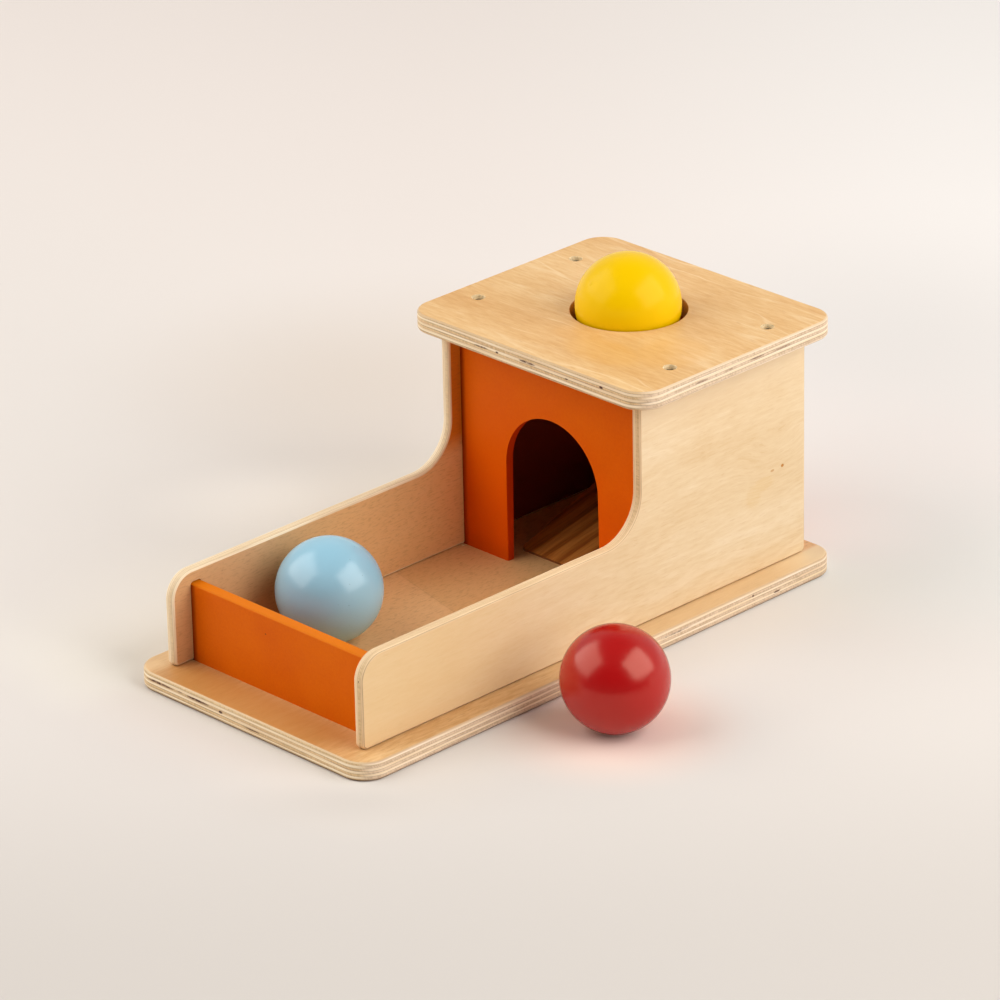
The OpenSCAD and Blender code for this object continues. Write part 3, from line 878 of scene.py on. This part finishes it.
def roundRing(bm, x, y, z, radius, count):
    angles = [2 * math.pi * k / count for k in range(count)]
    return [bm.verts.new((x + radius * math.cos(a), y + radius * math.sin(a), z)) for a in angles]


def prism(bm, rings):
    # a block between two rings of corners; its last face is the one on the second ring
    loftRings(bm, rings)
    return [bm.faces.new(ring) for ring in rings][1]


def quarterRound(radius, steps):
    # inset and height along a rounding, from its lower end
    turns = [math.radians(90 * k / steps) for k in range(steps + 1)]
    return [(radius * (1 - math.sin(a)), radius * (1 - math.cos(a))) for a in turns]


def softBoard(outline, thickness, arris, holes, place):
    # holes are (x, y, [(radius, height), ...]) from the top face to the bottom face
    bm = bmesh.new()
    profile = quarterRound(arris, 7)
    profile += [(inset, thickness - height) for inset, height in reversed(profile)]
    rings = []
    for inset, height in profile:
        spots = [point - normal * inset for point, normal in outline]
        rings.append([bm.verts.new((s.x, s.y, height)) for s in spots])
    loftRings(bm, rings)
    topEdges = ringEdges(bm, rings[-1])
    bottomEdges = ringEdges(bm, rings[0])
    for holeX, holeY, steps in holes:
        # the ball hole has finer rings than the screws' holes
        count = 96 if steps[0][0] > 10 else 40
        holeRings = [roundRing(bm, holeX, holeY, h, r, count) for r, h in steps]
        loftRings(bm, holeRings)
        topEdges += ringEdges(bm, holeRings[0])
        bottomEdges += ringEdges(bm, holeRings[-1])
    bmesh.ops.triangle_fill(bm, use_beauty=True, edges=topEdges)
    bmesh.ops.triangle_fill(bm, use_beauty=True, edges=bottomEdges)
    for vert in bm.verts:
        vert.co = place(vert.co)
    return bm


def softSteps(radius, soft, top):
    # a rounded rim for a hole, as (radius, height) steps
    return [(radius + inset, top - height) for inset, height in quarterRound(soft, 4)]


def pilotHoles(piece, screws, bottom, top):
    # bottom and top are those of the piece; each hole ends 1 mm past its screw's tip
    radius = boardSettings["screwHoleRadius"] * mm
    cutters = []
    for screw in screws:
        low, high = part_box(screw)
        spot = middleOf(screw)
        ends = (low.z - mm, top + mm) if high.z > top else (bottom - mm, high.z + mm)
        bm = bmesh.new()
        prism(bm, [roundRing(bm, spot.x, spot.y, z, radius, 20) for z in ends])
        cutters.append(bm)
    cutAway(piece, cutters)


def cutAway(piece, cutters):
    for bm in cutters:
        tool = newPiece("cutter", bm)
        cut = piece.modifiers.new("cut", "BOOLEAN")
        cut.operation = "DIFFERENCE"
        cut.solver = "EXACT"
        cut.object = tool
        bakeModifiers(piece)
        bpy.data.objects.remove(tool)


def bevelEdges(bm, width, segments, wanted):
    edges = [e for e in bm.edges if wanted(e)]
    bmesh.ops.bevel(bm, geom=edges, offset=width, offset_type="OFFSET", segments=segments,
                    profile=0.5, affect="EDGES", clamp_overlap=False)


# base board and roof board

boardSettings = {
    "cornerRadius": 11.5,
    "arris": 1.2,
    "screwRecessRadius": 2.9,
    "screwRecessDepth": 3.3,
    "screwHoleRadius": 1.3,
    "recessRim": 0.15,
    "ballHoleRim": 0.45,
    "ballHoleRadius": 24.75,
    "ballHoleFromBack": 54.8,
    # how far the painted light or shade of a hole's wall reaches from its middle
    "wellColourRadius": 3.3,
    "ballHoleColourRadius": 25.2,
}
roofScrews = [f"roof_screw_{i}" for i in range(1, 5)]
baseScrews = [f"base_screw_{i}" for i in range(1, 7)]
rampScrews = ["ramp_screw_1", "ramp_screw_2"]


def screwRecess(top, bottom):
    # steps of a recessed screw's hole, in mm, from the face with the recess to the other face
    look = boardSettings
    sign = 1 if top > bottom else -1
    rim = softSteps(look["screwRecessRadius"], look["recessRim"], 0)
    floorLevel = top - sign * look["screwRecessDepth"]
    return [(r, top + sign * h) for r, h in rim] + [
        (look["screwRecessRadius"], floorLevel),
        (look["screwHoleRadius"], floorLevel),
        (look["screwHoleRadius"], bottom)]


def screwHoles(screws, steps):
    spots = [middleOf(screw) / mm for screw in screws]
    return [(spot.x, spot.y, steps) for spot in spots]


def rectangle(low, high, front, back, steps):
    # front and back are the radii of its corners; all in mm
    x0, y0, x1, y1 = low.x / mm, low.y / mm, high.x / mm, high.y / mm
    return outlinePoints([(x0, y0, front), (x1, y0, front), (x1, y1, back), (x0, y1, back)], steps)


def thickBoard(low, high, holes):
    corner = boardSettings["cornerRadius"]
    return softBoard(rectangle(low, high, corner, corner, 14), (high.z - low.z) / mm,
                     boardSettings["arris"], holes, lambda p: p * mm + Vector((0, 0, low.z)))


def makeBaseBoard():
    low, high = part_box("base_board")
    steps = screwRecess(0, (high.z - low.z) / mm)
    bm = thickBoard(low, high, screwHoles(baseScrews + rampScrews, list(reversed(steps))))
    piece = newPiece("birch_base_board", bm, thickBoardMaterial(
        "birchBaseBoard", baseLook, low.z, high.z - low.z, False, 5.0))
    keepFlat(piece)
    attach(piece, "box")
    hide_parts("base_board")


def makeRoofBoard():
    look = boardSettings
    low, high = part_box("roof_board")
    thickness = (high.z - low.z) / mm
    wells = screwHoles(roofScrews, screwRecess(thickness, 0))
    rim = softSteps(look["ballHoleRadius"], look["ballHoleRim"], thickness)
    under = [(r, thickness - h) for r, h in reversed(rim)]
    ballHole = (0.0, high.y / mm - look["ballHoleFromBack"], rim + under)
    bm = thickBoard(low, high, wells + [ballHole])
    # painted light on the screw recesses' walls, painted shade on the ball hole's wall
    walls = [(x * mm, y * mm, look["wellColourRadius"] * mm, roofLook["wellPaintedLight"]) for x, y, steps in wells]
    walls.append((0.0, ballHole[1] * mm, look["ballHoleColourRadius"] * mm, roofLook["ballHole"]))
    piece = newPiece("birch_roof_board", bm, thickBoardMaterial(
        "birchRoofBoard", roofLook, low.z, high.z - low.z, True, 8.0, walls))
    keepFlat(piece)
    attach(piece, "box")
    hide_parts("roof_board")


makeBaseBoard()
makeRoofBoard()
print("base board and roof board")


# side panels

sideSettings = {
    "trayTop": 40.6,
    "houseFront": 30.2,
    "sweepRadius": 19.5,
    "noseRadius": 11.3,
    "cornerRadius": 2.5,
    "arris": {"right": 1.2, "left": 1.4},
    "grooveDepth": 2.0,
    "groovePlay": 0.1,
    "endGrooveGap": 0.5,
    "endGrooveCorner": 1.5,
}


def makeSidePanel(sideWord):
    look = sideSettings
    own = panelLooks[sideWord]
    side = own["side"]
    node = f"{sideWord}_side_panel"
    low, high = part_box(node)
    y0, y1 = low.y / mm, high.y / mm
    bottom = low.z / mm
    thickness = (high.x - low.x) / mm
    inner = min(abs(low.x), abs(high.x)) / mm
    tall = (high.z - low.z) / mm
    corners = [
        (y0, 0, look["cornerRadius"]),
        (y1, 0, look["cornerRadius"]),
        (y1, tall, look["cornerRadius"]),
        (look["houseFront"], tall, look["cornerRadius"]),
        (look["houseFront"], look["trayTop"], look["sweepRadius"]),
        (y0, look["trayTop"], look["noseRadius"]),
    ]
    bm = softBoard(outlinePoints(corners, 14), thickness, look["arris"][sideWord], [],
                   lambda p: Vector((side * (inner + p.z), p.x, bottom + p.y)) * mm)
    material = sidePanelMaterial(f"{sideWord}BirchSidePanel", sideLook, own, low, high)
    piece = newPiece(f"birch_{node}", bm, material)
    cutters = []
    ends = sorted((side * (inner - 1), side * (inner + look["grooveDepth"])))
    for panel in groovedPanels:
        panelLow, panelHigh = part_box(panel)
        g0 = panelLow.y / mm - look["groovePlay"]
        g1 = panelHigh.y / mm + look["groovePlay"]
        top = panelHigh.z / mm + (look["endGrooveGap"] if panel == "tray_end_panel" else 2)
        radius = look["endGrooveCorner"]
        outline = outlinePoints([(g0, bottom - 1, 0.01), (g1, bottom - 1, 0.01), (g1, top, radius),
                                 (g0, top, radius)], 6)
        cutter = bmesh.new()
        prism(cutter, [[cutter.verts.new((x * mm, p.x * mm, p.y * mm)) for p, n in outline] for x in ends])
        cutters.append(cutter)
    cutAway(piece, cutters)
    screws = [s for s in roofScrews + baseScrews if middleOf(s).x * side > 0]
    pilotHoles(piece, screws, low.z, high.z)
    keepFlat(piece)
    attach(piece, "box")
    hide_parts(node)


makeSidePanel("right")
makeSidePanel("left")
print("side panels")


# orange cross panels

crossSettings = {
    "doorRadius": 27.0,
    "doorSpring": 45.7,
    "doorArris": 0.9,
    "endArris": 1.0,
    "plainArris": 0.25,
}


def makeArchPanel(material):
    look = crossSettings
    low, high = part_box("arch_panel")
    r = look["doorRadius"] * mm
    spring = low.z + look["doorSpring"] * mm
    angles = [math.pi - math.pi * k / 48 for k in range(49)]
    loop = [(low.x, low.z), (-r, low.z)]
    loop += [(r * math.cos(a), spring + r * math.sin(a)) for a in angles]
    loop += [(r, low.z), (high.x, low.z), (high.x, high.z), (low.x, high.z)]
    bm = bmesh.new()
    prism(bm, [[bm.verts.new((x, y, z)) for x, z in loop] for y in (low.y, high.y)])

    def onDoor(edge):
        ends = [vert.co for vert in edge.verts]
        byDoor = all(abs(end.x) < r + 1e-5 and end.z < spring + r + 1e-5 for end in ends)
        onFloor = all(abs(end.z - low.z) < 1e-6 for end in ends)
        return abs(ends[0].y - ends[1].y) < 1e-6 and byDoor and not onFloor

    bevelEdges(bm, look["doorArris"] * mm, 5, onDoor)
    piece = keepFlat(newPiece("orange_arch_panel", bm, material))
    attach(piece, "box")
    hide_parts("arch_panel")


def makeFlatPanel(name, node, material, topArris):
    low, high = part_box(node)
    bm = bmesh.new()
    bmesh.ops.create_cube(bm, size=1.0)
    for vert in bm.verts:
        for i in range(3):
            vert.co[i] = low[i] if vert.co[i] < 0 else high[i]

    def alongTop(edge):
        ends = [vert.co for vert in edge.verts]
        return all(end.z > high.z - 1e-6 for end in ends) and abs(ends[0].x - ends[1].x) > 0.01

    bevelEdges(bm, topArris * mm, 6, alongTop)
    piece = keepFlat(newPiece(name, bm, material))
    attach(piece, "box")
    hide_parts(node)


orangePaint = orangePaintMaterial(orangeLook)
makeArchPanel(orangePaint)
makeFlatPanel("orange_tray_end_panel", "tray_end_panel", orangePaint, crossSettings["endArris"])
makeFlatPanel("orange_back_panel", "back_panel", orangePaint, crossSettings["plainArris"])
print("orange panels")


# ramp

rampSettings = {
    "slope": 19.1,
    "lip": 1.0,
    "frontCorner": 2.0,
    "backCorner": 0.05,
    "arris": 0.3,
}


def makeRamp():
    look = rampSettings
    low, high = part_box("ramp")
    rise = math.tan(math.radians(look["slope"]))
    outline = [p * mm for p, n in rectangle(low, high, look["frontCorner"], look["backCorner"], 8)]
    bm = bmesh.new()
    foot = [bm.verts.new((p.x, p.y, low.z)) for p in outline]
    crown = [bm.verts.new((p.x, p.y, low.z + look["lip"] * mm + (p.y - low.y) * rise)) for p in outline]
    topFace = prism(bm, [foot, crown])
    bmesh.ops.bevel(bm, geom=list(topFace.edges), offset=look["arris"] * mm, offset_type="OFFSET",
                    segments=3, profile=0.5, affect="EDGES", clamp_overlap=True)
    piece = newPiece("pine_ramp", bm, pineMaterial(pineLook))
    pilotHoles(piece, rampScrews, low.z, high.z)
    keepFlat(piece)
    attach(piece, "box")
    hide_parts("ramp")


makeRamp()
print("ramp")


# geometry node helpers

class Sketch(NodeSheet):  # a geometry node tree with named inputs
    def __init__(self, name, kinds):
        self.tree = bpy.data.node_groups.new(name, "GeometryNodeTree")
        super().__init__(self.tree)
        self.addSocket("Geometry", "INPUT", "Geometry")
        self.ids = {label: self.addSocket(label, "INPUT", kind) for label, kind in kinds.items()}
        self.addSocket("Geometry", "OUTPUT", "Geometry")
        self.entry = self.nodes.new("NodeGroupInput")

    def addSocket(self, label, way, kind):
        made = self.tree.interface.new_socket(label, in_out=way, socket_type=f"NodeSocket{kind}")
        return made.identifier

    def given(self, label):
        return Wire(self, self.entry.outputs[label])

    def finish(self, geometry, material):
        real = self.node("GeometryNodeRealizeInstances", None, [geometry])
        painted = self.node("GeometryNodeSetMaterial", None, {0: real, "Material": material})
        self.feed(self.nodes.new("NodeGroupOutput").inputs[0], painted)


def runSketch(sketch, name, points, values, smoothAngle):
    mesh = bpy.data.meshes.new(name)
    mesh.from_pydata(points, [], [])
    piece = linkObject(bpy.data.objects.new(name, mesh))
    grow = piece.modifiers.new("grow", "NODES")
    grow.node_group = sketch.tree
    for label, value in values.items():
        grow[sketch.ids[label]] = value
    bakeModifiers(piece)
    return polish(piece, smoothAngle)


# screws

screwSettings = {
    "headRadius": 2.5,
    "headHeight": 1.6,
    "rootRadius": 0.95,
    "threadDepth": 0.25,
    "threadPitch": 1.1,
    "threadRunIn": 1500.0,
    "shankLength": 16.0,
    "tipLength": 3.0,
    "crossWidth": 0.8,
    "crossLength": 3.0,
    "crossDepth": 0.9,
    "seed": 7,
}


def rolledGrid(sketch, columns, rows, share, radius, down, mergeDistance):
    # a flat grid rolled into a tube; share is the part of the turn, down the depth under the origin
    grid = sketch.node("GeometryNodeMeshGrid", None, {
        "Size X": 1.0, "Size Y": 1.0, "Vertices X": columns + 1, "Vertices Y": rows + 1})
    angle = share * (2 * math.pi)
    spot = sketch.join(radius * angle.maths("COSINE"), radius * angle.maths("SINE"), down * -1.0)
    rolled = sketch.node("GeometryNodeSetPosition", None, {0: grid, "Position": spot})
    return sketch.node("GeometryNodeMergeByDistance", None, {0: rolled, "Distance": mergeDistance})


def screwSketch():
    kinds = {label: "Float" for label in screwSettings}
    kinds.update({"flip": "Float", "seed": "Int", "finish": "Material"})
    sketch = Sketch("woodScrew", kinds)
    given = sketch.given
    # the flat grids lie between -0.5 and 0.5
    x, y, z = sketch.split(sketch.node("GeometryNodeInputPosition"))
    around = x + 0.5
    along = y + 0.5
    # shank: its radius follows the thread and the tip; the long run-in keeps the thread very low
    down = along * given("shankLength")
    climb = (down / given("threadPitch") - around) % 1.0
    ridge = (1 - abs(climb * 2 - 1)) ** 1.5
    left = (given("shankLength") - down) / given("tipLength")
    taper = left.maths("MINIMUM", 1.0).maths("MAXIMUM", 0.02)
    started = (down / given("threadRunIn")).maths("MINIMUM", 1.0)
    radius = (given("rootRadius") + ridge * given("threadDepth") * started) * taper
    shank = rolledGrid(sketch, 24, 120, around, radius, down + given("headHeight"), 0.00002)
    # head: from the middle of the top, round its soft rim, to the middle underneath
    flatShare = 0.3
    top = (along / flatShare).maths("MINIMUM", 1.0)
    under = ((1 - along) / flatShare).maths("MINIMUM", 1.0)
    lift = ((along - flatShare) / 0.4).maths("MAXIMUM", 0.0).maths("MINIMUM", 1.0)
    rim = (lift * math.pi).maths("SINE") * 0.12 + 0.88
    flatness = (top * under).maths("MAXIMUM", 0.0005) * rim
    head = rolledGrid(sketch, 48, 14, around, given("headRadius") * flatness, given("headHeight") * lift,
                      0.00003)
    # the cross is cut with two bars
    long, wide, deep = given("crossLength"), given("crossWidth"), given("crossDepth") * 2
    bars = [sketch.node("GeometryNodeMeshCube", None, {"Size": sketch.join(*sides, deep)})
            for sides in ((long, wide), (wide, long))]
    cutHead = sketch.node("GeometryNodeMeshBoolean", {"operation": "DIFFERENCE", "solver": "EXACT"},
                          {0: head, 1: bars})
    screw = sketch.node("GeometryNodeJoinGeometry", None, {0: [cutHead, shank]})
    # one screw on each point, turned at random, upside down where flip is 1
    spin = sketch.node("FunctionNodeRandomValue", {"data_type": "FLOAT"}, {
        2: 0.0, 3: 1.5, "Seed": given("seed")}, 1)
    turn = sketch.join(given("flip") * math.pi, 0.0, spin)
    placed = sketch.node("GeometryNodeInstanceOnPoints", None, {
        "Points": given("Geometry"), "Instance": screw, "Rotation": turn})
    sketch.finish(placed, given("finish"))
    return sketch


def makeScrews(sketch, name, nodes, flip, finish):
    points = []
    for node in nodes:
        low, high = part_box(node)
        points.append(((low.x + high.x) / 2, (low.y + high.y) / 2, low.z if flip else high.z))
    values = {label: value * mm for label, value in screwSettings.items() if label != "seed"}
    values.update({"flip": float(flip), "seed": screwSettings["seed"], "finish": finish})
    piece = runSketch(sketch, name, points, values, 35.0)
    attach(piece, "box")
    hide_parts(*nodes)


screwTree = screwSketch()
zinc = zincMaterial()
makeScrews(screwTree, "roof_screws", roofScrews, False, zinc)
makeScrews(screwTree, "base_screws", baseScrews, True, zinc)
makeScrews(screwTree, "ramp_screws", rampScrews, True, zinc)
print("screws")


# balls

ballSettings = {
    "markRadius": 0.07,
    "markDepth": 0.35,
    "tilt": {"yellow_ball": (0.9, 0.3, -0.5), "blue_ball": (1.3, 0.2, -0.7),
             "red_ball": (1.25, -0.2, -0.6)},
    "yellow": {"deep": srgb(239, 194, 0), "full": srgb(243, 200, 0), "roughness": 0.26, "gloss": 0.2,
               "shine": (1.0, 0.9, 0.5), "pits": 0.1, "wobble": 0.5},
    "blue": {"deep": srgb(147, 196, 219), "full": srgb(157, 205, 228), "roughness": 0.23, "gloss": 0.6,
             "shine": (1.0, 0.98, 0.98), "pits": 0.35, "wobble": 0.6},
    "red": {"deep": srgb(167, 8, 13), "full": srgb(180, 12, 17), "roughness": 0.235, "gloss": 0.74,
            "shine": (1.0, 0.68, 0.53), "pits": 0.15, "wobble": 0.6},
}


def ballSketch():
    # a turned ball: true all round but for the small flats where the lathe held it
    sketch = Sketch("turnedBall", {
        "radius": "Float", "markRadius": "Float", "markDepth": "Float",
        "tilt": "Vector", "centre": "Vector", "finish": "Material"})
    given = sketch.given
    sphere = sketch.node("GeometryNodeMeshUVSphere", None, {"Segments": 128, "Rings": 96, "Radius": 1.0})
    place = sketch.node("GeometryNodeInputPosition")
    x, y, z = sketch.split(place)
    near = (1 - sketch.length(x, y) / given("markRadius")).maths("MAXIMUM", 0.0)
    size = given("radius") - near * near * given("markDepth")
    scaled = sketch.node("ShaderNodeVectorMath", {"operation": "SCALE"}, {0: place, "Scale": size})
    shaped = sketch.node("GeometryNodeSetPosition", None, {0: sphere, "Position": scaled})
    moved = sketch.node("GeometryNodeTransform", None, {
        0: shaped, "Translation": given("centre"), "Rotation": given("tilt")})
    sketch.finish(moved, given("finish"))
    return sketch


def makeBall(sketch, name, node, body, finish):
    low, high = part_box(node)
    look = ballSettings
    values = {"radius": (high.z - low.z) / 2, "markRadius": look["markRadius"],
              "markDepth": look["markDepth"] * mm, "tilt": look["tilt"][node],
              "centre": tuple(middleOf(node)), "finish": finish}
    piece = runSketch(sketch, name, [(0, 0, 0)], values, 60.0)
    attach(piece, body)
    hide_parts(node)


ballTree = ballSketch()
makeBall(ballTree, "yellow_wooden_ball", "yellow_ball", "dropping_ball",
         lacquerMaterial("yellowLacquer", ballSettings["yellow"], 1.0))
makeBall(ballTree, "blue_wooden_ball", "blue_ball", "tray_ball",
         lacquerMaterial("blueLacquer", ballSettings["blue"], 5.0))
makeBall(ballTree, "red_wooden_ball", "red_ball", "spare_ball",
         lacquerMaterial("redLacquer", ballSettings["red"], 3.0))
print("balls")


# finish

scene.view_settings.view_transform = "Standard"
print("done")
